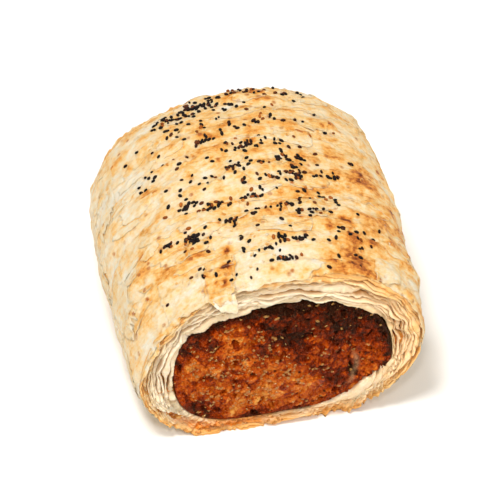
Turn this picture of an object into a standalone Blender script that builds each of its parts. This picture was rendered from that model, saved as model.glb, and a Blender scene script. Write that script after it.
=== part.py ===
"""A short, thick cut of sausage roll: a puff-pastry crust baked round a minced filling that runs right through it.

Metres, +Z up. The roll lies along Y on its flat underside, with the shown cut end towards -Y and the origin under
the middle of the whole. The crust is a tube whose bore is domed above and flatter below, and the filling fills it.
"""

import math

import bmesh
import bpy
from mathutils import Vector, noise

# The whole roll.
LENGTH = 0.0662
WIDTH = 0.0586
HEIGHT = 0.0364

# The crust's section: widest above the base, a domed top, and lower corners tucked in over a flat base. The corner
# on the +X side is drawn in further than the one on the -X side, from higher up.
WIDEST_AT = 0.0134
DOME_POWER = 2.05
TUCK_POWER = 2.2
TUCK_DEPTH = 0.0164
RIGHT_DRAW = 0.36
RIGHT_DRAW_FROM = 0.024
RIGHT_DRAW_POWER = 1.5

# Along the roll the section is drawn in towards both ends, more on top than low down, and once more at the back left.
NECK = 0.105
NECK_LOW_SHARE = 0.35
NECK_HEIGHT_SHARE = 0.9
NECK_POWER = 3.5
BACK_LEFT_ROUNDING = 0.08
BACK_LEFT_POWER = 3

# The pastry's thickness round the bore: thicker beside and under the filling's right-hand side than its left.
SIDE_WALL = 0.0073
TOP_WALL = 0.0098
BASE_WALL = 0.0023
BASE_WALL_UNEVEN = 0.0022
BORE_DOME_POWER = 2.4
BORE_FLOOR_POWER = 2.8
BORE_RIGHT_DRAW = 0.08
BORE_STEP = 0.0016

# Both cut ends: the top of the crust shrinks back in the oven, and the base stays out as a lip. The back cut runs
# a little askew, further in on the -X side.
TOP_SHRINK = 0.0032
SHRINK_POWER = 1.3
BACK_SKEW = 0.0024
RIM_WAVE = 0.0009
RIM_WAVE_SIZE = 0.013
RIM_LAYERS = 5
RIM_GROOVE = 0.0004
RIM_ROUNDING = 0.0008
RIM_ROUNDING_POWER = 6

# Shallow score marks across the top, and the lumps that rising leaves.
SCORE_PITCH = 0.0086
SCORE_RISE = 0.0007
SCORE_WANDER = 0.12
LUMP_SIZE = 0.017
LUMP_RISE = 0.0009

# The filling stands off the bore by a hair, and its cut faces swell outwards.
FILLING_GAP = 0.0003
FACE_RECESS = 0.0008
FACE_SWELL = 0.0017
FACE_SWELL_POWER = 2.4
FACE_LUMP_SIZE = 0.008
FACE_LUMP = 0.0005
FACE_MIDDLE = 0.0160

AROUND = 64
CRUST_STATIONS = 29
BORE_STATIONS = 3
FILLING_STATIONS = 5
FACE_RINGS = (0.92, 0.78, 0.60, 0.42, 0.24, 0.08)


def signed_power(value, power):
    """value to that power, keeping its sign."""
    return math.copysign(abs(value) ** power, value)


def crust_section(angle):
    """(x, z) on the crust's outer outline, counted from the widest point on the +X side, before lumps and scores."""
    across, up = math.cos(angle), math.sin(angle)
    if up >= 0:
        power, reach = 2 / DOME_POWER, HEIGHT - WIDEST_AT
    else:
        power, reach = 2 / TUCK_POWER, TUCK_DEPTH
    x = WIDTH / 2 * signed_power(across, power)
    z = max(0.0, WIDEST_AT + reach * signed_power(up, power))
    if x > 0:
        x *= 1 - RIGHT_DRAW * max(0.0, 1 - z / RIGHT_DRAW_FROM) ** RIGHT_DRAW_POWER
    return x, z


def bore_section(angle, clearance=0.0):
    """(x, z) on the bore that the filling lies in, taken in by the clearance."""
    across, up = math.cos(angle), math.sin(angle)
    if up >= 0:
        power, reach = 2 / BORE_DOME_POWER, HEIGHT - TOP_WALL - WIDEST_AT
    else:
        power = 2 / BORE_FLOOR_POWER
        reach = WIDEST_AT - BASE_WALL - BASE_WALL_UNEVEN * across
    half_width = (WIDTH / 2 - SIDE_WALL) * (1 - BORE_RIGHT_DRAW * (across > 0))
    x = (half_width - clearance) * signed_power(across, power)
    return x, WIDEST_AT + (reach - clearance) * signed_power(up, power)


def upper_share(angle):
    """0 on the base and the lower sides, rising to 1 on top."""
    return max(0.0, math.sin(angle)) ** 0.6


def end_inset(x, z, end):
    """How far that end's cut face lies inside the roll: nothing at the base's lip, most on top, and a little wavy."""
    height_share = max(0.0, z / HEIGHT)
    wave = noise.noise(Vector((x, end * LENGTH, z)) / RIM_WAVE_SIZE)
    askew = BACK_SKEW * (0.5 - x / WIDTH) if end > 0 else 0.0
    return TOP_SHRINK * height_share**SHRINK_POWER + RIM_WAVE * (wave + 1) * height_share + askew


def on_end_face(x, z, end, deeper):
    """The point of that end's cut face at (x, z), set deeper into the roll by that much."""
    return Vector((x, end * (LENGTH / 2 - end_inset(x, z, end) - deeper), z))


def necked_section(angle, share):
    """(x, z) on the crust's outline at that share of the way from the front end to the back one."""
    x, z = crust_section(angle)
    towards_end = abs(2 * share - 1)
    low_to_top = NECK_LOW_SHARE + (1 - NECK_LOW_SHARE) * upper_share(angle)
    drawn_in = NECK * low_to_top * towards_end**NECK_POWER
    if x < 0:
        x *= 1 - BACK_LEFT_ROUNDING * max(0.0, 2 * share - 1) ** BACK_LEFT_POWER
    return x * (1 - drawn_in), z * (1 - NECK_HEIGHT_SHARE * drawn_in)


def crust_relief(x, y, z, angle):
    """Height of the skin's score ridges and lumps over the plain section."""
    unevenness = noise.noise(Vector((x, y, z)) / LUMP_SIZE)
    ridge = SCORE_RISE * ((y / SCORE_PITCH + SCORE_WANDER * unevenness) % 1.0 - 0.5)
    return upper_share(angle) * (ridge + LUMP_RISE * (unevenness - 0.35))


def crust_point(angle, share):
    """A point on the outer skin, at that share of the way from the front rim to the back one."""
    x, z = necked_section(angle, share)
    front = on_end_face(x, z, -1, RIM_ROUNDING).y
    back = on_end_face(x, z, 1, RIM_ROUNDING).y
    y = front + (back - front) * share
    if 0 < share < 1:
        bulge = crust_relief(x, y, z, angle)
        x *= 1 + bulge / (WIDTH / 2)
        z += bulge * max(0.0, math.sin(angle))
    return Vector((x, y, z))


def bore_point(angle, share):
    """A point on the bore, from its step behind the front rim to the one behind the back rim."""
    x, z = bore_section(angle)
    front = on_end_face(x, z, -1, BORE_STEP).y
    back = on_end_face(x, z, 1, BORE_STEP).y
    return Vector((x, front + (back - front) * share, z))


def rim_ring(end, inward):
    """A ring of one cut end's laminated face, that share of the way in from the outer skin to the bore."""
    share = 0.0 if end < 0 else 1.0
    layer = math.sin(math.pi * inward * RIM_LAYERS) ** 2
    deeper = RIM_ROUNDING * abs(2 * inward - 1) ** RIM_ROUNDING_POWER + RIM_GROOVE * (1 - layer)
    ring = []
    for index in range(AROUND):
        angle = math.tau * index / AROUND
        outer_x, outer_z = necked_section(angle, share)
        bore_x, bore_z = bore_section(angle)
        x = outer_x + (bore_x - outer_x) * inward
        z = outer_z + (bore_z - outer_z) * inward
        ring.append(on_end_face(x, z, end, deeper))
    return ring


def rim_rings(end):
    """The laminated face of one cut end, from just inside the outer skin to the edge of the bore."""
    steps = 2 * RIM_LAYERS
    return [rim_ring(end, step / steps) for step in range(1, steps + 1)]


def ring_of(point_at, share):
    """One closed ring of points round the roll."""
    return [point_at(math.tau * index / AROUND, share) for index in range(AROUND)]


def bridge_in_turn(bm, rings, closed):
    """Walls between each ring and the next, and from the last back to the first where the shape closes on itself."""
    loops = []
    for ring in rings:
        verts = [bm.verts.new(point) for point in ring]
        loops.append([bm.edges.new((verts[i - 1], verts[i])) for i in range(len(verts))])
    for first, second in zip(loops, loops[1:]):
        bmesh.ops.bridge_loops(bm, edges=first + second)
    if closed:
        bmesh.ops.bridge_loops(bm, edges=loops[-1] + loops[0])
    return loops


def make_object(name, bm, color, roughness):
    """A smooth-shaded object from the bmesh, with its own plain material."""
    bmesh.ops.recalc_face_normals(bm, faces=bm.faces)
    mesh = bpy.data.meshes.new(name)
    bm.to_mesh(mesh)
    bm.free()
    mesh.shade_smooth()
    material = bpy.data.materials.new(name)
    material.use_nodes = True
    surface = material.node_tree.nodes["Principled BSDF"]
    surface.inputs["Base Color"].default_value = (*color, 1.0)
    surface.inputs["Roughness"].default_value = roughness
    surface.inputs["Metallic"].default_value = 0.0
    mesh.materials.append(material)
    obj = bpy.data.objects.new(name, mesh)
    bpy.context.scene.collection.objects.link(obj)
    return obj


def build_crust():
    """The wrapped pastry: out along the skin, in over the back rim, through the bore and out over the front rim."""
    bm = bmesh.new()
    skin = [ring_of(crust_point, i / (CRUST_STATIONS - 1)) for i in range(CRUST_STATIONS)]
    bore = [ring_of(bore_point, i / (BORE_STATIONS - 1)) for i in range(BORE_STATIONS)]
    rings = skin + rim_rings(1) + bore[::-1] + rim_rings(-1)[::-1]
    bridge_in_turn(bm, rings, closed=True)
    return make_object("crust", bm, (0.82, 0.62, 0.36), 0.55)


def face_ring(end, size):
    """A ring of the filling's swollen cut face, at that share of its outline."""
    swell = FACE_SWELL * (1 - size**FACE_SWELL_POWER)
    ring = []
    for index in range(AROUND):
        edge_x, edge_z = bore_section(math.tau * index / AROUND, FILLING_GAP)
        x, z = edge_x * size, FACE_MIDDLE + (edge_z - FACE_MIDDLE) * size
        lump = FACE_LUMP * noise.noise(Vector((x, end * LENGTH, z)) / FACE_LUMP_SIZE) * (1 - size**4)
        ring.append(on_end_face(x, z, end, FACE_RECESS - swell - lump))
    return ring


def build_filling():
    """The minced filling, from one swollen cut face to the other."""
    bm = bmesh.new()
    front, back = face_ring(-1, 1.0), face_ring(1, 1.0)
    shares = [i / (FILLING_STATIONS - 1) for i in range(FILLING_STATIONS)]
    sides = [[start.lerp(stop, share) for start, stop in zip(front, back)] for share in shares]
    front_face = [face_ring(-1, size) for size in reversed(FACE_RINGS)]
    back_face = [face_ring(1, size) for size in FACE_RINGS]
    loops = bridge_in_turn(bm, front_face + sides + back_face, closed=False)
    for loop in (loops[0], loops[-1]):
        middle = bmesh.ops.contextual_create(bm, geom=loop)["faces"]
        bmesh.ops.poke(bm, faces=middle)
    return make_object("filling", bm, (0.36, 0.11, 0.03), 0.35)


def put_over_origin(objects):
    """Moves the meshes sideways together until the middle of the whole lies over the origin."""
    for axis in (0, 1):
        places = [vert.co[axis] for obj in objects for vert in obj.data.vertices]
        middle = (min(places) + max(places)) / 2
        for obj in objects:
            for vert in obj.data.vertices:
                vert.co[axis] -= middle


for old in list(bpy.data.objects):
    bpy.data.objects.remove(old)
put_over_origin([build_crust(), build_filling()])
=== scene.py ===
"""The looks of a short, thick cut of sausage roll: flaky baked crust, layered ends, minced filling, seeds.

Metres, +Z up. The roll lies along Y with its shown cut end towards -Y. Its outer sizes come from the frame.
"""

import math
import random

import bmesh
import bpy
from mathutils import Matrix, Vector, noise
from mathutils.bvhtree import BVHTree


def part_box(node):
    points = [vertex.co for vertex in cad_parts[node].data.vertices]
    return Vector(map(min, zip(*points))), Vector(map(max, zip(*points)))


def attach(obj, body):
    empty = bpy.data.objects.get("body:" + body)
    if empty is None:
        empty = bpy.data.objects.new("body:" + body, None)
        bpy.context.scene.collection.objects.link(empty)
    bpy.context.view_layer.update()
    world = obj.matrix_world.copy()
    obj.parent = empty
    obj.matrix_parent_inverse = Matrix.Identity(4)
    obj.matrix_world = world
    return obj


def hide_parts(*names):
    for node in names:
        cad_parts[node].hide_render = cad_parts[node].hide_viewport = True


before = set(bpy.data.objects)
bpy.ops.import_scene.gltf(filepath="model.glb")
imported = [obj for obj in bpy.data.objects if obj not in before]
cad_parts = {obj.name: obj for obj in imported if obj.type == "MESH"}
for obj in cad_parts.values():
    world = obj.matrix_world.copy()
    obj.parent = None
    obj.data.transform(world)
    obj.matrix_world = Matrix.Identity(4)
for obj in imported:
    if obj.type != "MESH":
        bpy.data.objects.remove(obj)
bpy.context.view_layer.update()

# --------------------------------------------------------------------------------------------------
# The crust: puff pastry rolled thin, wrapped once round the filling and baked on a tray. Its skin is dry
# and matt, golden where it stood proud in the oven, and broken into shingled leaves that run across the
# roll.

MM = 0.001
crust_low, crust_high = (Vector(corner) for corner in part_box("crust"))
filling_low, filling_high = (Vector(corner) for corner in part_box("filling"))
FILLING_LEFT = 21.7 * MM
LUMPS_ON_TOP = 0.6 * MM
AXIS_X = filling_low.x + FILLING_LEFT
HALF_WIDTH = AXIS_X - crust_low.x
HEIGHT = crust_high.z - LUMPS_ON_TOP
FRONT, BACK = crust_low.y, crust_high.y

# The section: widest above the base, with a domed top and lower corners tucked in, the one on +X further.
# Along the roll it is drawn in towards both ends, more on top than low down, and once more at the back left.
WIDEST_AT = 13.4 * MM
DOME_POWER = 2.05
TUCK_POWER = 2.2
TUCK_DEPTH = 16.4 * MM
RIGHT_DRAW = 0.36
RIGHT_DRAW_FROM = 24 * MM
RIGHT_DRAW_POWER = 1.5
NECK = 0.105
NECK_LOW_SHARE = 0.35
NECK_HEIGHT_SHARE = 0.9
NECK_POWER = 3.5
BACK_LEFT_ROUNDING = 0.08
BACK_LEFT_POWER = 3

# The cut ends: the top shrinks back in the oven, the base stays out, and the back cut runs a little askew.
TOP_SHRINK = 3.2 * MM
SHRINK_POWER = 1.3
BACK_SKEW = 2.4 * MM
RIM_WAVE = 0.9 * MM
RIM_WAVE_SIZE = 13 * MM

# The tunnel that the filling lies in.
BORE_DOME_POWER = 2.4
BORE_FLOOR_POWER = 2.8
BASE_WALL_UNEVEN = 2.2 * MM


def signed_power(value, power):
    """value to that power, keeping its sign."""
    return math.copysign(abs(value) ** power, value)


def crust_section(angle, share):
    """(x, z) on the crust's outline, counted from +X, at that share of the way from front to back."""
    across, up = math.cos(angle), math.sin(angle)
    power, reach = (2 / DOME_POWER, HEIGHT - WIDEST_AT) if up >= 0 else (2 / TUCK_POWER, TUCK_DEPTH)
    x = HALF_WIDTH * signed_power(across, power)
    z = max(0.0, WIDEST_AT + reach * signed_power(up, power))
    if x > 0:
        x *= 1 - RIGHT_DRAW * max(0.0, 1 - z / RIGHT_DRAW_FROM) ** RIGHT_DRAW_POWER
    else:
        x *= 1 - BACK_LEFT_ROUNDING * max(0.0, 2 * share - 1) ** BACK_LEFT_POWER
    low_to_top = NECK_LOW_SHARE + (1 - NECK_LOW_SHARE) * max(0.0, up) ** 0.6
    drawn_in = NECK * low_to_top * abs(2 * share - 1) ** NECK_POWER
    return AXIS_X + x * (1 - drawn_in), z * (1 - NECK_HEIGHT_SHARE * drawn_in)


def bore_section(angle, clearance=0.0):
    """(x, z) on the tunnel that the filling lies in, taken in by the clearance."""
    across, up = math.cos(angle), math.sin(angle)
    if up >= 0:
        power, reach = 2 / BORE_DOME_POWER, filling_high.z - WIDEST_AT
    else:
        power, reach = 2 / BORE_FLOOR_POWER, WIDEST_AT - filling_low.z - BASE_WALL_UNEVEN * across
    half_width = filling_high.x - AXIS_X if across > 0 else AXIS_X - filling_low.x
    x = AXIS_X + (half_width - clearance) * signed_power(across, power)
    return x, WIDEST_AT + (reach - clearance) * signed_power(up, power)


def end_y(x, z, end):
    """The Y of that end's cut face at (x, z): the base's lip stays out, and the top has shrunk back."""
    height_share = max(0.0, z / HEIGHT)
    wave = noise.noise(Vector((x, end * (BACK - FRONT), z)) / RIM_WAVE_SIZE)
    inset = TOP_SHRINK * height_share**SHRINK_POWER + RIM_WAVE * (wave + 1) * height_share
    if end > 0:
        return BACK - inset - BACK_SKEW * (0.5 - (x - AXIS_X) / (2 * HALF_WIDTH))
    return FRONT + inset


NORMAL_STEP = 0.02


def plain_skin(angle, share):
    """The point and the outward normal of the crust before its leaves, lumps and blisters."""
    x, z = crust_section(angle, share)
    x0, z0 = crust_section(angle - NORMAL_STEP, share)
    x1, z1 = crust_section(angle + NORMAL_STEP, share)
    normal = Vector((z1 - z0, 0.0, x0 - x1)).normalized()
    front, back = end_y(x, z, -1), end_y(x, z, 1)
    return Vector((x, front + (back - front) * share, z)), normal


def patches(point, across, along, seed):
    """Smooth noise from about -1 to 1, with patches of those sizes round the roll and along it."""
    return noise.noise(Vector((point.x / across, point.y / along, point.z / across + seed)))


def smooth_between(value, low, high):
    """0 below low, 1 above high, and a smooth rise between them."""
    share = min(1.0, max(0.0, (value - low) / (high - low)))
    return share * share * (3 - 2 * share)


# The skin: shingled steps along the roll, torn leaves on them, and lumps, ripples, crinkles and blisters.
SHINGLE_PITCH = 8.6 * MM
SHINGLE_RISE = 0.55 * MM
LEAF_RISE = 0.15 * MM
LUMP_RISE = 1.5 * MM
RIPPLE_RISE = 0.50 * MM
CRINKLE_RISE = 0.15 * MM
BLISTER_CELL = 5.0 * MM
BLISTER_RISE = 0.40 * MM
PLAIN_TOAST = 0.41
# Where the crust browned most and least: middle seen from above and radius, in millimetres, then how much.
TOASTED = (
    (13.5, -26.5, 5.0, 0.28), (10.4, -25.6, 1.3, 0.45), (17.5, -28.5, 3.0, 0.12), (13.0, -23.0, 2.4, 0.10),
    (15.4, -14.8, 1.2, 0.80), (15.0, -20.5, 2.0, 0.08), (-8.6, -19.8, 0.9, 0.85), (-9.6, -23.6, 0.8, 0.80),
    (-10.2, -27.0, 0.7, 0.50), (-12.0, -24.0, 3.5, 0.14), (-6.0, 10.0, 4.0, 0.10), (3.0, 13.0, 5.0, 0.02),
    (14.5, 14.0, 3.6, 0.10), (-20.0, -4.0, 6.0, -0.12), (-17.0, 2.0, 8.0, -0.10), (-1.0, -24.0, 5.0, -0.08),
    (-12.0, 18.0, 5.0, 0.04), (20.0, -2.0, 9.0, 0.19), (24.0, -13.0, 7.0, 0.22), (-19.0, -20.0, 4.0, 0.12),
    (12.0, -8.0, 5.0, 0.08), (-17.0, 8.0, 3.0, 0.12), (0.0, 18.0, 4.0, 0.02), (4.0, 22.0, 3.0, 0.04),
    (0.0, 27.0, 6.0, 0.06), (-22.0, 10.0, 5.0, -0.10), (18.0, 8.0, 3.0, 0.10), (6.0, -16.0, 3.0, 0.10),
    (-5.0, -12.0, 3.0, 0.10), (19.0, -19.0, 1.2, 0.35), (11.5, -18.0, 1.0, 0.30), (2.5, 19.0, 1.0, 0.35),
)


def caught(point):
    """How much more, or less, the heat caught the crust at that point than round about."""
    total = 0.0
    for x, y, radius, amount in TOASTED:
        away = math.hypot(point.x / MM - x, point.y / MM - y) / radius
        total += amount * math.exp(-away * away)
    return total


def skin_relief(point, angle):
    """How far the skin stands proud at that point, and the shingle and leaf counts and the toasting there."""
    top = max(0.0, math.sin(angle)) ** 0.5
    off_base = smooth_between(point.z, 0.5 * MM, 4 * MM)
    # Counts that climb along the roll: a shingle or a leaf breaks off where its count passes a whole number.
    shingle = (point.y / SHINGLE_PITCH + 0.9 * patches(point, 16 * MM, 9 * MM, 3)
               + 0.40 * patches(point, 5 * MM, 2.4 * MM, 7) + 0.10 * patches(point, 1.5 * MM, 0.8 * MM, 9))
    leaf = (3.4 * patches(point, 11 * MM, 4.6 * MM, 21) + 1.1 * patches(point, 3.4 * MM, 1.6 * MM, 23)
            + 0.26 * patches(point, 1.2 * MM, 0.7 * MM, 25))
    lump = patches(point, 15 * MM, 12 * MM, 31) - 0.1
    ripple = patches(point, 5.5 * MM, 2.6 * MM, 33)
    crinkle = patches(point, 1.9 * MM, 0.9 * MM, 35)
    distances, centres = noise.voronoi(point / BLISTER_CELL)
    chance = noise.cell(centres[0] * 7.31)
    blister = max(0.0, 1 - (distances[0] / (0.14 + 0.26 * chance)) ** 2) * (chance > 0.3)
    rise = (SHINGLE_RISE * (shingle % 1.0 - 0.5) * top
            + LEAF_RISE * (math.floor(leaf) + smooth_between(leaf % 1.0, 0.0, 0.2)) * 0.5 * off_base
            + LUMP_RISE * lump * top + (RIPPLE_RISE * ripple + CRINKLE_RISE * crinkle) * off_base
            + BLISTER_RISE * blister * top)
    toast = (PLAIN_TOAST + 0.27 * patches(point, 12 * MM, 8 * MM, 41)
             + 0.27 * patches(point, 3.6 * MM, 2.2 * MM, 43)
             + 0.10 * (shingle % 1.0 - 0.5) + 0.16 * ripple + 0.18 * blister)
    toast -= 0.16 * (1 - top)
    toast += caught(point) * top + 0.45 * (1 - off_base)
    return rise, shingle, leaf, toast


def leaf_noise(size, number, angle, end):
    """Noise round one cut end, with about that many swings to the turn, different for each leaf number."""
    return noise.noise(Vector((size * math.cos(angle), size * math.sin(angle), number + 11.3 * end)))


def leaf_edge(number, angle, end):
    """How far behind the cut plane that leaf's torn edge lies, in metres."""
    # Low down the leaves are pressed together, so their edges lie closer to each other.
    low = smooth_between(-math.sin(angle), -0.1, 0.6)
    number *= 1 - 0.8 * low
    deep = 0.55 + 0.9 * low * leaf_noise(38, 3.7, angle, end)
    deep += 1.6 * leaf_noise(1.9, number * 0.62 + 80, angle, end)
    deep += 0.95 * leaf_noise(7, number * 1.7 + 90, angle, end)
    deep += 0.45 * leaf_noise(24, number * 2.9, angle, end)
    deep += 0.25 * leaf_noise(65, number * 4.1, angle, end)
    return max(-0.2, deep) * MM


AROUND = 400
ALONG = 200
RIM_STEPS = 9
RIM_DEPTH = 1.5 * MM
BORE_STEPS = 3
# One closed run: along the skin, in over the back rim, back through the tunnel and out over the front rim.
rings = [("skin", 0, i / ALONG) for i in range(ALONG + 1)]
rings += [("rim", 1, i / RIM_STEPS) for i in range(1, RIM_STEPS + 1)]
rings += [("bore", 0, 1 - i / BORE_STEPS) for i in range(1, BORE_STEPS)]
rings += [("rim", -1, 1 - i / RIM_STEPS) for i in range(RIM_STEPS)]
rings.append(rings[0])


def rim_point(angle, inward, end, deeper):
    """A point of a cut end, that share of the way in from the skin to the filling, set back by deeper."""
    outer_x, outer_z = crust_section(angle, 0.0 if end < 0 else 1.0)
    inner_x, inner_z = bore_section(angle)
    x = outer_x + (inner_x - outer_x) * inward
    z = outer_z + (inner_z - outer_z) * inward
    return Vector((x, end_y(x, z, end) - end * deeper, z))


def grid_by_count(bm, across, along):
    """A flat grid of that many cells, and for each vertex its whole-number place in it."""
    made = bmesh.ops.create_grid(bm, x_segments=across, y_segments=along, size=1.0)
    return [(vert, round((vert.co.x + 1) / 2 * across), round((vert.co.y + 1) / 2 * along))
            for vert in made["verts"]]


def finish_mesh(name, bm):
    """A smooth-shaded object with its faces outwards, from a bmesh whose seams meet."""
    bmesh.ops.remove_doubles(bm, verts=bm.verts, dist=0.001 * MM)
    bmesh.ops.recalc_face_normals(bm, faces=bm.faces)
    mesh = bpy.data.meshes.new(name)
    bm.to_mesh(mesh)
    bm.free()
    mesh.shade_smooth()
    piece = bpy.data.objects.new(name, mesh)
    bpy.context.scene.collection.objects.link(piece)
    return piece


def linear(text):
    """The linear colour of an sRGB hex value."""
    parts = [int(text[i:i + 2], 16) / 255 for i in (0, 2, 4)]
    return (*[part / 12.92 if part <= 0.04045 else ((part + 0.055) / 1.055) ** 2.4 for part in parts], 1.0)


def add_node(tree, kind, settings=None, links=None, stops=None, take=0):
    """Adds a node and returns the output taken from it. settings go on the node, links on its inputs as
    values or sockets, and stops on its colour ramp."""
    node = tree.nodes.new(kind)
    for name, value in (settings or {}).items():
        setattr(node, name, value)
    for name, value in (links or {}).items():
        if isinstance(value, bpy.types.NodeSocket):
            tree.links.new(value, node.inputs[name])
        else:
            node.inputs[name].default_value = value
    if stops:
        ramp = node.color_ramp
        while len(ramp.elements) < len(stops):
            ramp.elements.new(1.0)
        for element, (place, shade) in zip(ramp.elements, stops):
            element.position = place
            element.color = linear(shade) if isinstance(shade, str) else (shade, shade, shade, 1.0)
    return node.outputs[take]


def new_material(name):
    """A material with its tree, its Principled shader and the piece's own coordinates in millimetres."""
    material = bpy.data.materials.new(name)
    material.use_nodes = True
    tree = material.node_tree
    shader = tree.nodes["Principled BSDF"]
    place = add_node(tree, "ShaderNodeTexCoord", take="Object")
    in_mm = add_node(tree, "ShaderNodeVectorMath", {"operation": "SCALE"}, {0: place, "Scale": 1 / MM})
    return material, tree, shader, in_mm


def baked_pastry():
    """Baked puff pastry: thin dry dough, egg-washed and oven-browned, so matt with a faint waxy sheen. It
    goes from cream where it stayed pale to orange-brown where it toasted, browner where leaves broke, with
    painted shade at the foot of each broken step and a painted highlight on lifted flake edges."""
    material, tree, shader, mm = new_material("baked_puff_pastry")
    toast, shingle, leaf, edge = (
        add_node(tree, "ShaderNodeAttribute", {"attribute_name": name}, take="Fac")
        for name in ("toast", "shingle", "leaf", "edge"))
    across = add_node(tree, "ShaderNodeVectorMath", {"operation": "MULTIPLY"}, {0: mm, 1: (0.40, 1.0, 0.40)})
    # Mottling of about 4 mm, blotches of about 1.2 mm, and fine streaks that run across the roll.
    mixed = toast
    for place, scale, detail, strength in (
            (mm, 0.25, 4.0, 0.8), (mm, 0.9, 5.0, 0.9), (across, 1.8, 5.0, 0.6)):
        grain = add_node(tree, "ShaderNodeTexNoise", {}, {
            "Vector": place, "Scale": scale, "Detail": detail, "Roughness": 0.6})
        mixed = add_node(tree, "ShaderNodeMath", {"operation": "MULTIPLY_ADD"}, {
            0: grain, 1: strength, 2: mixed})
        mixed = add_node(tree, "ShaderNodeMath", {"operation": "SUBTRACT"}, {0: mixed, 1: 0.5 * strength})
    colour = add_node(tree, "ShaderNodeValToRGB", {}, {"Fac": mixed}, stops=(
        (0.0, "F6EAD2"), (0.18, "F8E0B8"), (0.36, "F9D59C"), (0.52, "F7C274"), (0.68, "EEA246"),
        (0.84, "C87028"), (1.0, "70300C")))
    # Browner lines on the torn edges of the shingles and the leaves, in places: partly toasted edge, partly
    # painted shade at the foot of each step.
    patchy = add_node(tree, "ShaderNodeTexNoise", {}, {"Vector": mm, "Scale": 0.5, "Detail": 4.0})
    shown = add_node(tree, "ShaderNodeMapRange", {}, {"Value": patchy, "From Min": 0.46, "From Max": 0.62})
    for count, width, strength in ((shingle, 0.030, 0.34), (leaf, 0.060, 0.22)):
        within = add_node(tree, "ShaderNodeMath", {"operation": "FRACT"}, {0: count})
        near = add_node(tree, "ShaderNodeValToRGB", {}, {"Fac": within}, stops=(
            (0.0, strength), (width * 0.5, 0.7 * strength), (width * 1.6, 0.0), (1 - width, 0.0),
            (1.0, strength)))
        near = add_node(tree, "ShaderNodeMath", {"operation": "MULTIPLY"}, {0: near, 1: shown})
        colour = add_node(tree, "ShaderNodeMix", {"data_type": "RGBA"}, {
            "Factor": near, 6: colour, 7: linear("A86428")}, take=2)
    # Small toasted blisters, about a millimetre across.
    dots = add_node(tree, "ShaderNodeTexVoronoi", {}, {"Vector": mm, "Scale": 0.42})
    dot_tone = add_node(tree, "ShaderNodeTexVoronoi", {}, {"Vector": mm, "Scale": 0.42}, take="Color")
    dot_tone = add_node(tree, "ShaderNodeSeparateColor", {}, {"Color": dot_tone})
    dot = add_node(tree, "ShaderNodeMapRange", {}, {"Value": dots, "From Min": 0.26, "From Max": 0.12})
    dot = add_node(tree, "ShaderNodeMath", {"operation": "MULTIPLY"}, {0: dot, 1: dot_tone})
    dot = add_node(tree, "ShaderNodeMath", {"operation": "MULTIPLY"}, {0: dot, 1: mixed})
    dot = add_node(tree, "ShaderNodeMath", {"operation": "MULTIPLY", "use_clamp": True}, {0: dot, 1: 2.2})
    colour = add_node(tree, "ShaderNodeMix", {"data_type": "RGBA"}, {
        "Factor": dot, 6: colour, 7: linear("B9662A")}, take=2)
    # A flake's lifted broken edge is a little paler than its face: partly paler torn dough, partly a painted
    # highlight where the edge catches the light.
    colour = add_node(tree, "ShaderNodeMix", {"data_type": "RGBA"}, {
        "Factor": edge, 6: colour, 7: linear("F6E6C6")}, take=2)
    tree.links.new(colour, shader.inputs["Base Color"])
    # The fine crackle of the dry surface, from 0.8 mm down, drawn out across the roll.
    coarse = add_node(tree, "ShaderNodeTexNoise", {}, {
        "Vector": across, "Scale": 1.3, "Detail": 7.0, "Roughness": 0.72})
    bump = add_node(tree, "ShaderNodeBump", {}, {"Height": coarse, "Distance": 1.2 * MM, "Strength": 0.85})
    tree.links.new(bump, shader.inputs["Normal"])
    rough = add_node(tree, "ShaderNodeMapRange", {}, {"Value": mixed, "To Min": 0.62, "To Max": 0.45})
    tree.links.new(rough, shader.inputs["Roughness"])
    shader.inputs["Specular IOR Level"].default_value = 0.25
    shader.inputs["Subsurface Weight"].default_value = 0.06
    shader.inputs["Subsurface Radius"].default_value = (1.0, 0.55, 0.25)
    shader.inputs["Subsurface Scale"].default_value = 0.8 * MM
    return material


bm = bmesh.new()
layers = {name: bm.verts.layers.float.new(name) for name in ("toast", "shingle", "leaf")}
for vert, i, j in grid_by_count(bm, AROUND, len(rings) - 1):
    angle = math.tau * (i % AROUND) / AROUND
    kind, end, share = rings[j]
    if kind == "skin":
        point, normal = plain_skin(angle, share)
        rise, shingle, leaf, toast = skin_relief(point, angle)
        near_end = smooth_between(abs(2 * share - 1), 0.94, 1.0)
        side = 1 if share > 0.5 else -1
        vert.co = point + normal * rise * (1 - 0.7 * near_end)
        vert.co.y -= side * leaf_edge(-1, angle, side) * near_end
        vert.co.z = max(0.0, vert.co.z)
    elif kind == "rim":
        deep = leaf_edge(-1, angle, end) + RIM_DEPTH * smooth_between(share, 0.0, 0.1)
        vert.co = rim_point(angle, share, end, deep)
        # The cut face behind the leaves goes browner inward from the skin: painted shade in the recess behind
        # them.
        toast, shingle, leaf = 0.45 + 0.3 * smooth_between(share, 0.0, 0.2), 0.5, 0.5
    else:
        x, z = bore_section(angle)
        front, back = end_y(x, z, -1) + 2 * RIM_DEPTH, end_y(x, z, 1) - 2 * RIM_DEPTH
        vert.co = Vector((x, front + (back - front) * share, z))
        toast, shingle, leaf = 0.5, 0.5, 0.5
    vert[layers["toast"]] = toast
    vert[layers["shingle"]] = shingle
    vert[layers["leaf"]] = leaf
crust = finish_mesh("crust_skin", bm)
pastry = baked_pastry()
crust.data.materials.append(pastry)
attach(crust, "root")
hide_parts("crust")

# --------------------------------------------------------------------------------------------------
# The layered ends: cutting the roll shows the folded dough's leaves, thin and crisp outside, with one thick,
# soft, pale layer next to the filling. Oven heat parts them, so their torn edges have gaps between, painted
# dark as shade.

LEAF_COUNT = 12
LEAF_AROUND = 420
LEAF_ROOT = 3.4
LEAF_SHOULDER = 1.4
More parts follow.
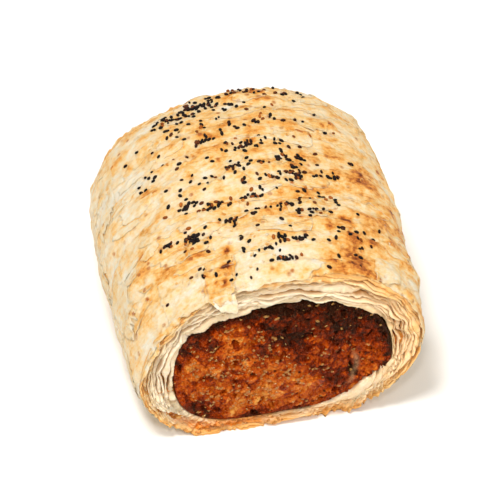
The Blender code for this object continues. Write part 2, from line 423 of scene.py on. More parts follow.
# One leaf's profile, from its outer root round its torn edge to its inner root: share of its thickness, and
# how far behind its edge in millimetres.
LEAF_PROFILE = ((0.0, LEAF_ROOT), (0.0, LEAF_SHOULDER), (0.06, 0.14), (0.35, 0.0), (0.65, 0.0), (0.94, 0.14),
                (1.0, LEAF_SHOULDER), (1.0, LEAF_ROOT), (0.0, LEAF_ROOT))


def leaf_borders(angle, end):
    """How far in from the skin, as shares of the wall, the borders between the leaves lie at that angle."""
    top, left = max(0.0, math.sin(angle)), max(0.0, -math.cos(angle))
    borders = [0.0]
    for number in range(LEAF_COUNT):
        weight = math.exp(1.5 * leaf_noise(1.6, number * 1.7, angle, end)
                          + 1.1 * leaf_noise(6, number * 3.1, angle, end))
        if number == LEAF_COUNT - 1:
            weight *= 1.4 + 2.6 * top * top + 1.6 * left
        elif number == LEAF_COUNT - 2:
            weight *= 1.0 + 2.0 * left
        borders.append(borders[-1] + weight)
    return [border / borders[-1] for border in borders]


def leaf_gap(number, angle, end):
    """The share of its space that the leaf leaves empty: none where it stays stuck to its neighbour."""
    parted = 0.95 * leaf_noise(2.4, number * 0.83 + 40, angle, end)
    parted += 0.45 * leaf_noise(9, number * 2.3 + 60, angle, end)
    parted *= smooth_between(math.sin(angle), -0.6, 0.1)
    return min(0.6, max(0.02, parted))


def build_leaves(end):
    """The nested leaves of one cut end."""
    bm = bmesh.new()
    tone = bm.verts.layers.float.new("tone")
    tip = bm.verts.layers.float.new("tip")
    borders = [leaf_borders(math.tau * i / LEAF_AROUND, end) for i in range(LEAF_AROUND)]
    for number in range(LEAF_COUNT):
        for vert, i, j in grid_by_count(bm, LEAF_AROUND, len(LEAF_PROFILE) - 1):
            i %= LEAF_AROUND
            angle = math.tau * i / LEAF_AROUND
            across, back = LEAF_PROFILE[j]
            outer, inner = borders[i][number], borders[i][number + 1]
            gap = leaf_gap(number, angle, end)
            share = outer + (inner - outer) * (gap * 0.5 + (1 - gap) * across)
            if back == LEAF_SHOULDER:
                back = min(back, 0.10 + 4 * gap)
            deep = leaf_edge(number, angle, end) + back * MM
            vert.co = rim_point(angle, min(0.99, max(0.01, share)), end, deep)
            vert[tone] = number / (LEAF_COUNT - 1)
            vert[tip] = 1 - min(1.0, back / LEAF_SHOULDER)
    return finish_mesh("layers_" + ("front" if end < 0 else "back"), bm)


def layered_dough():
    """Inner puff dough: baked without direct heat, so it stays cream and slightly waxy, with a browner
    outermost leaf. The lip that lay on the tray browned and is glossy, and at the left it is orange with
    juices from the filling."""
    material, tree, shader, mm = new_material("layered_puff_dough")
    tone, tip = (add_node(tree, "ShaderNodeAttribute", {"attribute_name": name}, take="Fac")
                 for name in ("tone", "tip"))
    blotch = add_node(tree, "ShaderNodeTexNoise", {}, {
        "Vector": mm, "Scale": 0.6, "Detail": 6.0, "Roughness": 0.6})
    mixed = add_node(tree, "ShaderNodeMath", {"operation": "MULTIPLY_ADD"}, {0: blotch, 1: 1.1, 2: tone})
    mixed = add_node(tree, "ShaderNodeMath", {"operation": "SUBTRACT"}, {0: mixed, 1: 0.55})
    by_leaf = add_node(tree, "ShaderNodeValToRGB", {}, {"Fac": mixed}, stops=(
        (0.0, "E2A458"), (0.12, "F0C88A"), (0.35, "F6DFB8"), (0.8, "F3E2C6"), (1.0, "E4CCA6")))
    # Deeper in, behind the torn edges, the leaves turn brown: painted shade in the gaps between them.
    colour = add_node(tree, "ShaderNodeMix", {"data_type": "RGBA"}, {
        "Factor": tip, 6: linear("C08A50"), 7: by_leaf}, take=2)
    # More golden towards the right.
    apart = add_node(tree, "ShaderNodeSeparateXYZ", {}, {"Vector": mm}, take="X")
    right = add_node(tree, "ShaderNodeMapRange", {}, {
        "Value": apart, "From Min": 8.0, "From Max": 20.0, "To Max": 0.5})
    colour = add_node(tree, "ShaderNodeMix", {"data_type": "RGBA"}, {
        "Factor": right, 6: colour, 7: linear("F2C07A")}, take=2)
    # The lip low down, browned in ragged patches.
    height = add_node(tree, "ShaderNodeSeparateXYZ", {}, {"Vector": mm}, take="Z")
    low = add_node(tree, "ShaderNodeMapRange", {}, {
        "Value": height, "From Min": 4.2, "From Max": 1.2, "To Max": 0.85})
    ragged = add_node(tree, "ShaderNodeMath", {"operation": "MULTIPLY"}, {0: low, 1: blotch})
    ragged = add_node(tree, "ShaderNodeMath", {"operation": "MULTIPLY"}, {0: ragged, 1: 1.9})
    colour = add_node(tree, "ShaderNodeMix", {"data_type": "RGBA", "clamp_factor": True}, {
        "Factor": ragged, 6: colour, 7: linear("F0AC58")}, take=2)
    # Meat juices soaked into the lip's inner leaves at the left.
    left = add_node(tree, "ShaderNodeMapRange", {}, {"Value": apart, "From Min": -2.0, "From Max": -6.0})
    soaked = add_node(tree, "ShaderNodeMath", {"operation": "MULTIPLY"}, {0: ragged, 1: left})
    inner = add_node(tree, "ShaderNodeMath", {"operation": "GREATER_THAN"}, {0: tone, 1: 0.45})
    soaked = add_node(tree, "ShaderNodeMath", {"operation": "MULTIPLY"}, {0: soaked, 1: inner})
    colour = add_node(tree, "ShaderNodeMix", {"data_type": "RGBA", "clamp_factor": True}, {
        "Factor": soaked, 6: colour, 7: linear("EE8A22")}, take=2)
    tree.links.new(colour, shader.inputs["Base Color"])
    grain = add_node(tree, "ShaderNodeTexNoise", {}, {
        "Vector": mm, "Scale": 1.6, "Detail": 6.0, "Roughness": 0.65})
    bump = add_node(tree, "ShaderNodeBump", {}, {"Height": grain, "Distance": 0.5 * MM, "Strength": 0.7})
    tree.links.new(bump, shader.inputs["Normal"])
    rough = add_node(tree, "ShaderNodeMapRange", {}, {"Value": low, "To Min": 0.55, "To Max": 0.25})
    tree.links.new(rough, shader.inputs["Roughness"])
    shader.inputs["Specular IOR Level"].default_value = 0.35
    shader.inputs["Subsurface Weight"].default_value = 0.15
    shader.inputs["Subsurface Radius"].default_value = (1.0, 0.6, 0.3)
    shader.inputs["Subsurface Scale"].default_value = 1.0 * MM
    return material


dough = layered_dough()
front_leaves, back_leaves = build_leaves(-1), build_leaves(1)
for leaves in (front_leaves, back_leaves):
    leaves.data.materials.append(dough)
    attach(leaves, "root")

# --------------------------------------------------------------------------------------------------
# The soft dough at the front's lower right: the innermost layer, which stayed underbaked and squeezed out
# over the edge of the filling, so it is lumpy, pale and glossy with butter.

SOFT_FROM, SOFT_TO = math.radians(276), math.radians(352)
SOFT_AROUND = 120
# How far in from the skin it starts, as a share of the wall, and how far over the filling it reaches.
SOFT_START = 0.72
SOFT_REACH = 0.62
SOFT_ROOT = 2.5
# Its profile from its outer root over its swollen face to its inner root: share of its width, and how far
# behind the cut in millimetres.
SOFT_PROFILE = ((0.0, SOFT_ROOT), (0.0, 0.9), (0.1, 0.35), (0.3, 0.05), (0.6, -0.25), (0.85, -0.15),
                (0.97, 0.3), (1.0, 1.2), (1.0, SOFT_ROOT), (0.0, SOFT_ROOT))

bm = bmesh.new()
tone = bm.verts.layers.float.new("tone")
tip = bm.verts.layers.float.new("tip")
for vert, i, j in grid_by_count(bm, SOFT_AROUND, len(SOFT_PROFILE) - 1):
    along = i / SOFT_AROUND
    angle = SOFT_FROM + (SOFT_TO - SOFT_FROM) * along
    across, back = SOFT_PROFILE[j]
    swollen = math.sin(math.pi * along) ** 0.8 * (1 + 0.7 * leaf_noise(9, 3.3, angle, -1))
    share = SOFT_START + across * (1 - SOFT_START + SOFT_REACH * swollen)
    vert.co = rim_point(angle, share, -1, (back + 0.8 * (1 - swollen)) * MM)
    vert.co.y += 0.45 * MM * noise.noise(vert.co / (2.2 * MM)) * (back < SOFT_ROOT)
    vert[tone] = 0.9
    vert[tip] = 1.0
bmesh.ops.holes_fill(bm, edges=[edge for edge in bm.edges if edge.is_boundary])
soft_dough = finish_mesh("soft_dough", bm)
# The same dough wet with butter, so much smoother, under a thin clear film.
buttery = dough.copy()
buttery.name = "buttery_puff_dough"
surface = buttery.node_tree.nodes["Principled BSDF"]
buttery.node_tree.links.remove(surface.inputs["Roughness"].links[0])
surface.inputs["Roughness"].default_value = 0.2
surface.inputs["Coat Weight"].default_value = 0.5
surface.inputs["Coat Roughness"].default_value = 0.08
soft_dough.data.materials.append(buttery)
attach(soft_dough, "root")

# --------------------------------------------------------------------------------------------------
# The filling: seasoned minced meat, pressed in raw and baked, so its cut face is a close mass of lumps,
# nearly black at the top and right edges, partly browned and partly painted shade, greasy all over, with a
# pale streak of fat and pepper specks.

FACE_ACROSS, FACE_UP = 230, 140
FACE_RECESS = 0.8 * MM
FACE_SWELL = 1.7 * MM
MINCE = 2.3 * MM
CRUMB = 0.9 * MM
STREAK_RIGHT, STREAK_MIDDLE = 11.5 * MM, 11 * MM
STREAK_WIDTH = 0.55 * MM
face_middle = Vector((AXIS_X, 0.0, 16.0 * MM))


def mince_relief(point):
    """How far the mince stands proud of the plain cut face: lumps, crumbs on them, pits and a slow wave."""
    warped = point + Vector((1, 0, 1)) * 0.8 * MM * noise.noise(point / (2.2 * MM))
    distances, centres = noise.voronoi(warped / MINCE)
    tilt = noise.cell(centres[0] * 9.7)
    lump = min(1.0, (distances[1] - distances[0]) * 2.2) ** 0.6 * (0.6 + 0.6 * tilt)
    small, _ = noise.voronoi(warped / CRUMB)
    crumb = min(1.0, (small[1] - small[0]) * 2.0) ** 0.7
    pit = smooth_between(noise.noise(point / (1.7 * MM) + Vector((5, 5, 5))), 0.32, 0.55)
    wave = noise.noise(point / (7 * MM))
    return (0.65 * lump + 0.32 * crumb - 0.70 * pit + 0.55 * wave - 0.40) * MM


def face_point(i, j, end):
    """A point of the cut face, for a place in the grid, with its share of the way out to the face's edge."""
    a, b = 2 * i / FACE_ACROSS - 1, 2 * j / FACE_UP - 1
    u, v = a * math.sqrt(1 - b * b / 2), b * math.sqrt(1 - a * a / 2)
    size, angle = math.hypot(u, v), math.atan2(v, u)
    edge_x, edge_z = bore_section(angle, 0.15 * MM)
    x = face_middle.x + (edge_x - face_middle.x) * size
    z = face_middle.z + (edge_z - face_middle.z) * size
    swell = FACE_SWELL * (1 - size**2.4)
    y = end_y(x, z, end) + end * (swell - FACE_RECESS)
    point = Vector((x, y, z))
    point.y += end * mince_relief(point) * smooth_between(size, 1.0, 0.93)
    point.y = min(BACK, max(FRONT, point.y))
    return point, size


def minced_meat():
    """Baked minced pork: brown meat bound with fat, moist and greasy, so a low roughness over a coarse grain.
    It is near black at the top, the right and round its rim, partly browned and partly painted shade where
    the face sits back under the crust, rust brown in the middle and tan lower down, with painted shade in
    the pits between lumps."""
    material, tree, shader, mm = new_material("baked_minced_meat")
    char_and_shade, fat = (add_node(tree, "ShaderNodeAttribute", {"attribute_name": name}, take="Fac")
                 for name in ("char_and_shade", "fat"))
    # Lumps of mince of about 1.4 mm, each of its own tone, under blotches of about 1.1 mm and finer.
    lump = add_node(tree, "ShaderNodeTexVoronoi", {}, {"Vector": mm, "Scale": 0.7}, take="Color")
    lump = add_node(tree, "ShaderNodeSeparateColor", {}, {"Color": lump})
    blotch = add_node(tree, "ShaderNodeTexNoise", {}, {
        "Vector": mm, "Scale": 0.9, "Detail": 7.0, "Roughness": 0.75})
    tone = char_and_shade
    for noise_socket, strength in ((blotch, 1.5), (lump, 0.30)):
        tone = add_node(tree, "ShaderNodeMath", {"operation": "MULTIPLY_ADD"}, {
            0: noise_socket, 1: strength, 2: tone})
        tone = add_node(tree, "ShaderNodeMath", {"operation": "SUBTRACT"}, {0: tone, 1: 0.5 * strength})
    colour = add_node(tree, "ShaderNodeValToRGB", {}, {"Fac": tone}, stops=(
        (0.0, "E4A04A"), (0.2, "CE681A"), (0.42, "AA3E00"), (0.60, "7A2000"), (0.80, "4A1000"),
        (1.0, "240500")))
    colour = add_node(tree, "ShaderNodeMix", {"data_type": "RGBA", "clamp_factor": True}, {
        "Factor": fat, 6: colour, 7: linear("AC8660")}, take=2)
    # Pepper specks, about half a millimetre across.
    specks = add_node(tree, "ShaderNodeTexVoronoi", {}, {"Vector": mm, "Scale": 0.5})
    speck = add_node(tree, "ShaderNodeMapRange", {}, {
        "Value": specks, "From Min": 0.18, "From Max": 0.08, "To Max": 0.85})
    colour = add_node(tree, "ShaderNodeMix", {"data_type": "RGBA"}, {
        "Factor": speck, 6: colour, 7: linear("120602")}, take=2)
    tree.links.new(colour, shader.inputs["Base Color"])
    grain = add_node(tree, "ShaderNodeTexNoise", {}, {
        "Vector": mm, "Scale": 1.4, "Detail": 2.0, "Roughness": 0.6})
    bump = add_node(tree, "ShaderNodeBump", {}, {"Height": grain, "Distance": 1.3 * MM, "Strength": 1.0})
    tree.links.new(bump, shader.inputs["Normal"])
    shader.inputs["Roughness"].default_value = 0.17
    shader.inputs["Specular IOR Level"].default_value = 0.24
    shader.inputs["Specular Tint"].default_value = (1.0, 0.64, 0.32, 1.0)
    return material


bm = bmesh.new()
char_and_shade_layer = bm.verts.layers.float.new("char_and_shade")
fat_layer = bm.verts.layers.float.new("fat")
for end in (-1, 1):
    for vert, i, j in grid_by_count(bm, FACE_ACROSS, FACE_UP):
        point, size = face_point(i, j, end)
        vert.co = point
        up = (point.z - face_middle.z) / (filling_high.z - face_middle.z)
        right = (point.x - face_middle.x) / (filling_high.x - face_middle.x)
        # Darker towards the top, the right and the rim, lighter at the lower left: partly browned meat,
        # partly painted shade where the face sits back under the crust.
        char_and_shade_amount = 0.49 + 0.36 * smooth_between(up + 0.5 * right, -0.1, 1.1)
        char_and_shade_amount += 0.28 * smooth_between(size, 0.84, 1.0) - 0.18 * smooth_between(-right - 0.8 * up, 0.0, 1.2)
        char_and_shade_amount += 0.38 * noise.noise(point / (5.5 * MM))
        # Low places between the lumps are painted darker as shade, and high ones lighter as painted light.
        vert[char_and_shade_layer] = char_and_shade_amount - 0.20 * (mince_relief(point) / MM - 0.2)
        # A wavy streak of fat stands in the front face's lower right.
        wave = 1.5 * MM * math.sin((point.z / MM - 8) / 2.5)
        streak = (point.x - face_middle.x - STREAK_RIGHT - wave) / STREAK_WIDTH
        tall = smooth_between(abs(point.z - STREAK_MIDDLE), 4.5 * MM, 2 * MM)
        vert[fat_layer] = 0.55 * math.exp(-streak * streak) * tall * (end < 0)
loops = [edge for edge in bm.edges if edge.is_boundary]
bmesh.ops.bridge_loops(bm, edges=loops)
filling = finish_mesh("minced_filling", bm)
filling.data.materials.append(minced_meat())
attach(filling, "root")
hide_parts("filling")

# --------------------------------------------------------------------------------------------------
# The grease: beads of melted pork fat that sweated out of the cut face, clear amber and wet. They are
# thickest over the middle and the left of the face, and some lie on the lip below it.

BEADS = 440


def melted_fat():
    """Melted pork fat: a clear amber liquid, so mostly transmission with a smooth surface."""
    material, _, shader, _ = new_material("melted_pork_fat")
    shader.inputs["Base Color"].default_value = linear("F0AC58")
    shader.inputs["Specular Tint"].default_value = (1.0, 0.84, 0.58, 1.0)
    shader.inputs["Roughness"].default_value = 0.08
    shader.inputs["IOR"].default_value = 1.46
    shader.inputs["Transmission Weight"].default_value = 0.7
    return material


random.seed(3)
depsgraph = bpy.context.evaluated_depsgraph_get()
cut_face, lip = (BVHTree.FromObject(piece, depsgraph) for piece in (filling, front_leaves))
bm = bmesh.new()
for number in range(BEADS):
    surface, x, z = cut_face, random.gauss(-7, 7) * MM, random.gauss(13, 5) * MM
    if number % 3 == 0:
        x, z = random.uniform(-19, 19) * MM, random.uniform(4, 26) * MM
    elif number % 5 == 0:
        surface, x, z = lip, random.uniform(-17, 0) * MM, random.uniform(0.6, 3) * MM
    place, _, _, _ = surface.ray_cast(Vector((x, 2 * FRONT, z)), Vector((0, 1, 0)))
    if place is None or place.y > FRONT / 2:
        continue
    size = random.uniform(0.10, 0.32) * MM
    flat = Matrix.Diagonal((size * random.uniform(1.0, 2.2), size * 0.6, size, 1.0))
    turned = Matrix.Rotation(random.uniform(-1, 1), 4, "Y")
    bmesh.ops.create_uvsphere(bm, u_segments=8, v_segments=5, radius=1.0,
                              matrix=Matrix.Translation(place) @ turned @ flat)
beads = finish_mesh("fat_beads", bm)
beads.data.materials.append(melted_fat())
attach(beads, "root")

# --------------------------------------------------------------------------------------------------
# Broken flakes: single leaves that came loose as the skin cracked. Each holds on at its back and lifts
# towards the front, with a ragged edge. The largest lie at the front and hang over the cut a little.

LOOSE_FLAKES = 84
RIM_SHARDS = 20
LEAF_THICKNESS = 0.12 * MM
# How far a flake stands off the skin, how far its back edge dives into it, and how a hanging edge droops.
CLEAR = 0.10 * MM
ROOTED = 0.45 * MM
DROOP = 0.8
TOP_LENGTH = BACK - FRONT - 2 * TOP_SHRINK


def over(x, y):
    """(angle, share) of the place on the crust's top that lies at (x, y), in millimetres, seen from above."""
    angle = math.acos(max(-1.0, min(1.0, (x * MM - AXIS_X) / HALF_WIDTH)))
    _, z = crust_section(angle, 0.5)
    front, back = end_y(x * MM, z, -1), end_y(x * MM, z, 1)
    return angle, (y * MM - front) / (back - front)


def lay_flake(corners, cells, lift, toast, seed, square, torn=1.0):
    """One flake of that many cells each way over its four corners, (angle, share) from the front left one
    round to the back left one, rounded unless square, torn round its edge, and lifting towards its front."""
    for vert, i, j in grid_by_count(bm, cells, cells):
        a, b = 2 * i / cells - 1, 2 * j / cells - 1
        u = a * (square + (1 - square) * math.sqrt(1 - b * b / 2))
        v = b * (square + (1 - square) * math.sqrt(1 - a * a / 2))
        out, way = max(abs(a), abs(b)), math.atan2(v, u)
        ragged = 1 + 0.20 * torn * noise.noise(Vector((1.3 * math.cos(way), 1.3 * math.sin(way), seed)))
        ragged += 0.20 * torn * out * noise.noise(Vector((5 * math.cos(way), 5 * math.sin(way), seed + 3)))
        ragged += 0.08 * torn * out * noise.noise(Vector((14 * math.cos(way), 14 * math.sin(way), seed + 5)))
        right, back = (1 + u * ragged) / 2, (1 + v * ragged) / 2
        angle, share = (
            (corners[0][k] * (1 - right) + corners[1][k] * right) * (1 - back)
            + (corners[3][k] * (1 - right) + corners[2][k] * right) * back for k in (0, 1))
        hanging = max(0.0, -share) * TOP_LENGTH
        share = min(1.0, max(0.0, share))
        point, normal = plain_skin(angle, share)
        rise, _, _, beneath = skin_relief(point, angle)
        free = smooth_between(-v, -0.9, 0.9)
        wobble = noise.noise(Vector((u * 2, v * 2, seed + 8)))
        away = lift * free * free * (0.6 + 0.8 * wobble) - ROOTED * smooth_between(-free, -0.3, 0.0)
        vert.co = point + normal * (rise + CLEAR + away - DROOP * hanging * hanging / (1.5 * MM))
        vert.co.y -= hanging * 0.7
        vert.co.z = max(0.05 * MM, vert.co.z)
        mottle = noise.noise(Vector((u * 1.7, v * 1.7, seed + 12)))
        vert[layers["toast"]] = 0.55 * (toast + caught(point)) + 0.45 * beneath + 0.16 * mottle
        # The lifted front rim carries a painted highlight, partly the paler torn dough.
        vert[layers["edge"]] = 0.8 * smooth_between(out, 0.86, 1.0) * free * (0.5 + wobble)
        vert[layers["shingle"]] = 0.5
        vert[layers["leaf"]] = 0.5


def loose_corners(angle, share, wide, long, turn):
    """The four corners of a flake round that place, of about that size, turned on the skin, a bit uneven."""
    step = 0.05
    per_angle = (plain_skin(angle + step, share)[0] - plain_skin(angle, share)[0]).length / step
    corners = []
    for a, b in ((-1, -1), (1, -1), (1, 1), (-1, 1)):
        across, along = a * wide / 2 * random.uniform(0.5, 1.3), b * long / 2 * random.uniform(0.4, 1.4)
        around = across * math.cos(turn) - along * math.sin(turn)
        forward = across * math.sin(turn) + along * math.cos(turn)
        corners.append((angle - around / per_angle, share + forward / TOP_LENGTH))
    return corners


# The flakes seen best: corners seen from above, in millimetres, then lift, toasting and squareness.
CHIEF_FLAKES = (
    ((-10.2, -30.3), (4.4, -29.4), (11.0, -24.6), (-6.6, -17.4), 0.30, 0.16, 0.95),
    ((-15.2, -30.2), (-10.6, -30.9), (-7.2, -18.0), (-12.4, -17.0), 0.12, 0.60, 0.9),
    ((-14.6, -31.0), (-10.2, -31.6), (-9.4, -28.8), (-13.8, -28.6), 0.10, -0.25, 0.5),
    ((11.4, 10.8), (17.6, 11.0), (17.4, 17.4), (11.2, 17.0), 0.30, 0.40, 0.1),
    ((5.5, 6.8), (13.5, 5.0), (13.0, 10.5), (6.5, 11.5), 0.22, 0.20, 0.3),
    ((-23.0, -28.5), (-15.5, -30.0), (-13.5, -18.0), (-21.5, -16.5), 0.18, 0.30, 0.7),
    ((19.0, -28.6), (24.5, -27.6), (25.0, -18.0), (20.5, -20.0), 0.35, 0.10, 0.5),
    ((-2.0, -18.5), (8.0, -19.5), (9.0, -13.5), (-3.0, -13.5), 0.18, 0.30, 0.3),
    ((4.0, -14.0), (13.0, -13.0), (12.0, -7.0), (5.0, -8.0), 0.18, 0.30, 0.3),
    ((-12.0, -12.0), (-3.0, -13.5), (-2.5, -7.0), (-11.0, -6.0), 0.18, 0.26, 0.3),
)
random.seed(12)
bm = bmesh.new()
layers = {name: bm.verts.layers.float.new(name) for name in ("toast", "edge", "shingle", "leaf")}
for number, (*corners, lift, toast, square) in enumerate(CHIEF_FLAKES):
    lay_flake([over(x, y) for x, y in corners], 34, lift * MM, toast, 4.4 + number * 7.9, square, 0.5)
for number in range(LOOSE_FLAKES):
    angle, share = math.radians(random.uniform(5, 175)), random.uniform(0.08, 0.97)
    # The toasted patch at the front right has no loose flakes on it.
    if share < 0.24 and math.radians(38) < angle < math.radians(75):
        continue
    wide, long, turn = random.uniform(3.5, 11) * MM, random.uniform(1.8, 5.0) * MM, random.uniform(-0.4, 0.4)
    corners = loose_corners(angle, share, wide, long, turn)
    lay_flake(corners, 16, random.uniform(0.0, 0.16) * MM, random.uniform(0.10, 0.55), number * 1.9, 0.2)
# Long pale sheets peeling down both sides: angle in degrees, share, length and height in millimetres, seed.
for angle, share, long, tall, seed in ((168, 0.30, 30, 7, 51), (178, 0.62, 34, 6, 57), (160, 0.75, 24, 7, 63),
                                       (188, 0.28, 26, 6, 69), (12, 0.35, 26, 7, 75), (2, 0.7, 30, 6, 81)):
    corners = loose_corners(math.radians(angle), share, tall * MM, long * MM, random.uniform(-0.1, 0.1))
    lay_flake(corners, 28, 0.18 * MM, random.uniform(0.12, 0.28), seed, 0.5)
# Shards that the knife left hanging at the front rim.
for number in range(RIM_SHARDS):
    angle = math.radians(10 + (number + random.random()) * 1.5 if number < 10 else 78 + (number - 9) * 9)
    share = random.uniform(0.005, 0.02)
    wide, long, turn = random.uniform(3, 8) * MM, random.uniform(1.5, 3.5) * MM, random.uniform(-0.2, 0.2)
    corners = loose_corners(angle, share, wide, long, turn)
    lay_flake(corners, 14, random.uniform(0.02, 0.16) * MM, random.uniform(0.2, 0.6), 120 + number * 3.3, 0.3)
flakes = finish_mesh("crust_flakes", bm)
thickness = flakes.modifiers.new("leaf_thickness", "SOLIDIFY")
thickness.thickness = LEAF_THICKNESS
thickness.offset = -1.0
flakes.data.materials.append(pastry)
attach(flakes, "root")

# --------------------------------------------------------------------------------------------------
# The seeds: poppy seeds about a millimetre long, strewn on the egg wash before baking. They cling where it
# ran together, in short rows across the roll, and are sparse down the sides.

SEED = Vector((0.48, 0.30, 0.25)) * MM
# Clusters seen from above: middle x and y, spread across and along, all in millimetres, and how many seeds.
CLUSTERS = (
    (-6.7, 23.2, 1.6, 0.9, 30), (-10.5, 20.4, 1.6, 1.0, 20), (-13.2, 21.2, 1.1, 1.0, 13),
    (-1.6, 21.3, 1.7, 0.9, 16), (8.0, 24.8, 3.0, 0.7, 11), (0.5, 25.0, 3.0, 0.6, 10),
    (-6.7, 10.1, 1.7, 0.6, 10), (1.3, 6.3, 2.2, 0.8, 20), (7.5, 1.9, 2.2, 0.7, 20),
    (8.3, -2.9, 0.9, 0.8, 28), (15.2, -2.5, 1.5, 0.3, 7), (-12.7, -6.3, 0.9, 0.6, 10),
    (-9.5, -7.7, 1.3, 0.8, 16), (-1.0, -7.4, 2.0, 0.4, 13), (4.6, -11.7, 2.4, 0.5, 13),
    (-5.6, -13.3, 1.2, 0.7, 8), (9.6, -13.3, 1.1, 0.8, 9), (-14.0, -14.6, 0.9, 0.9, 24),
    (-17.9, -13.4, 1.2, 0.4, 8), (1.5, -20.6, 0.7, 0.5, 7), (5.2, -21.0, 1.5, 0.3, 9),
    (1.8, -25.0, 1.1, 0.4, 12), (-1.4, -22.5, 0.7, 0.3, 4), (15.0, -18.6, 2.4, 1.2, 9),
    (-17.9, 6.7, 1.6, 1.5, 9), (-6.0, 15.0, 3.0, 1.4, 8), (4.0, 14.0, 3.6, 1.0, 10),
    (-2.5, 0.3, 4.0, 0.5, 14), (1.5, -3.6, 3.0, 0.4, 10), (11.0, -8.5, 2.6, 0.8, 10),
)
STRAYS = 200


def land(x, y):
    """Where something dropped from above lands on the crust or its flakes, with the normal there, or None."""
    landings = []
    for surface in seed_bed:
        place, normal, _, _ = surface.ray_cast(Vector((x, y, 2 * HEIGHT)), Vector((0, 0, -1)))
        if place is not None:
            landings.append((place, normal))
    return max(landings, key=lambda landing: landing[0].z, default=None)


def poppy_seed():
    """Poppy seed: a hard slate-black seed coat, dull, and brown on the ones that toasted through."""
    material, tree, shader, _ = new_material("poppy_seed_coat")
    tone = add_node(tree, "ShaderNodeAttribute", {"attribute_name": "tone"}, take="Fac")
    coat = add_node(tree, "ShaderNodeValToRGB", {}, {"Fac": tone}, stops=(
        (0.0, "0A0606"), (0.6, "160B08"), (0.8, "361606"), (0.92, "7C3C0C"), (1.0, "A85C1C")))
    tree.links.new(coat, shader.inputs["Base Color"])
    shader.inputs["Roughness"].default_value = 0.6
    shader.inputs["Specular IOR Level"].default_value = 0.15
    return material


depsgraph = bpy.context.evaluated_depsgraph_get()
seed_bed = [BVHTree.FromObject(piece, depsgraph) for piece in (crust, flakes)]
random.seed(5)
places = []
for x, y, across, along, count in CLUSTERS:
    for _ in range(count):
        places.append((random.gauss(x, across), random.gauss(y, along)))
for _ in range(STRAYS):
    places.append((random.triangular(-24, 24, 0), random.uniform(-28, 29)))
bm = bmesh.new()
tone = bm.verts.layers.float.new("tone")
for x, y in places:
    landing = land(x * MM, y * MM)
    if landing is None:
        continue
    place, normal = landing
    if normal.z < 0:
        normal = -normal
    lying = normal.to_track_quat("Z", "X").to_matrix().to_4x4()
    turned = Matrix.Rotation(random.gauss(0, 0.5), 4, "Z")
    size = random.uniform(0.75, 1.25)
    shape = Matrix.Diagonal((*(SEED * size), 1.0))
    place = place + normal * SEED.z * 0.45
    made = bmesh.ops.create_uvsphere(bm, u_segments=7, v_segments=5, radius=1.0,
                                     matrix=Matrix.Translation(place) @ lying @ turned @ shape)
    shade = random.random()
    for vert in made["verts"]:
        vert[tone] = shade
seeds = finish_mesh("poppy_seeds", bm)
seeds.data.materials.append(poppy_seed())
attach(seeds, "root")

# --------------------------------------------------------------------------------------------------
# The crumbs: bits of shattered crust that stayed where they fell, most of them near the cut.

CRUMBS = 60

random.seed(8)
bm = bmesh.new()
layers = {name: bm.verts.layers.float.new(name) for name in ("toast", "edge", "shingle", "leaf")}
for _ in range(CRUMBS):
    x, y = random.triangular(-24, 24, 0), random.triangular(-30, 28, -22)
    landing = land(x * MM, y * MM)
    if landing is None:
        continue
    size = random.uniform(0.15, 0.45) * MM
    shape = Matrix.Diagonal((size * random.uniform(1.0, 1.8), size, size * 0.5, 1.0))
    turned = Matrix.Rotation(random.uniform(0, math.tau), 4, "Z")
    made = bmesh.ops.create_icosphere(bm, subdivisions=1, radius=1.0,
                                      matrix=Matrix.Translation(landing[0]) @ turned @ shape)
    toast = random.uniform(0.2, 0.8)
    for vert in made["verts"]:
        vert.co += Vector((random.uniform(-1, 1), random.uniform(-1, 1), random.uniform(-1, 1))) * size * 0.25
        vert[layers["toast"]] = toast
        vert[layers["shingle"]] = vert[layers["leaf"]] = 0.5
crumbs = finish_mesh("crust_crumbs", bm)
crumbs.data.materials.append(pastry)
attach(crumbs, "root")

# --------------------------------------------------------------------------------------------------
# The stage: a plain pale floor under soft studio light, with the camera at the roll's front, looking well
# down on it.

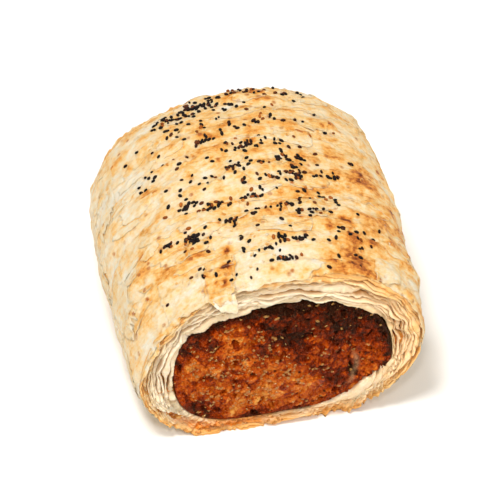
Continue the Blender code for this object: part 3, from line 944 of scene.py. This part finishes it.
FLOOR = 4.0
floor_mesh = bpy.data.meshes.new("floor")
bm = bmesh.new()
bmesh.ops.create_grid(bm, x_segments=1, y_segments=1, size=FLOOR / 2)
bm.to_mesh(floor_mesh)
bm.free()
floor = bpy.data.objects.new("floor", floor_mesh)
bpy.context.scene.collection.objects.link(floor)
paper, _, shader, _ = new_material("pale_studio_paper")
shader.inputs["Base Color"].default_value = linear("F4F2EE")
shader.inputs["Roughness"].default_value = 0.8
floor_mesh.materials.append(paper)

world = bpy.data.worlds.new("studio")
world.use_nodes = True
world.node_tree.nodes["Background"].inputs["Color"].default_value = linear("FFFDF8")
world.node_tree.nodes["Background"].inputs["Strength"].default_value = 0.48
bpy.context.scene.world = world
bpy.context.scene.view_settings.view_transform = "Standard"

middle = Vector((0.0, 0.0, crust_high.z / 2))


def add_softbox(name, place, size, watts):
    """A square soft light at that place, aimed at the roll."""
    data = bpy.data.lights.new(name, "AREA")
    data.size = size
    data.energy = watts
    lamp = bpy.data.objects.new(name, data)
    lamp.location = place
    lamp.rotation_euler = (middle - lamp.location).to_track_quat("-Z", "Y").to_euler()
    bpy.context.scene.collection.objects.link(lamp)


# A wide key light above the front left, a small one for glints on the fat, and a fill from the front right.
add_softbox("key_softbox", Vector((-0.20, -0.12, 0.80)), 0.26, 5.6)
add_softbox("glint_softbox", Vector((-0.10, -0.50, 0.62)), 0.06, 1.0)
add_softbox("fill_softbox", Vector((0.35, -0.65, 0.38)), 0.4, 2.1)

AZIMUTH, ELEVATION = math.radians(-11.5), math.radians(40)
AWAY = 0.9
LENS = 340
AIM_LOWER = 2.65 * MM
back_to_camera = Vector((math.sin(AZIMUTH) * math.cos(ELEVATION), -math.cos(AZIMUTH) * math.cos(ELEVATION),
                         math.sin(ELEVATION)))
camera_data = bpy.data.cameras.new("camera")
camera_data.lens = LENS
camera = bpy.data.objects.new("camera", camera_data)
aim = middle - Vector((0.0, 0.0, AIM_LOWER))
camera.location = aim + back_to_camera * AWAY
camera.rotation_euler = (-back_to_camera).to_track_quat("-Z", "Y").to_euler()
bpy.context.scene.collection.objects.link(camera)
bpy.context.scene.camera = camera
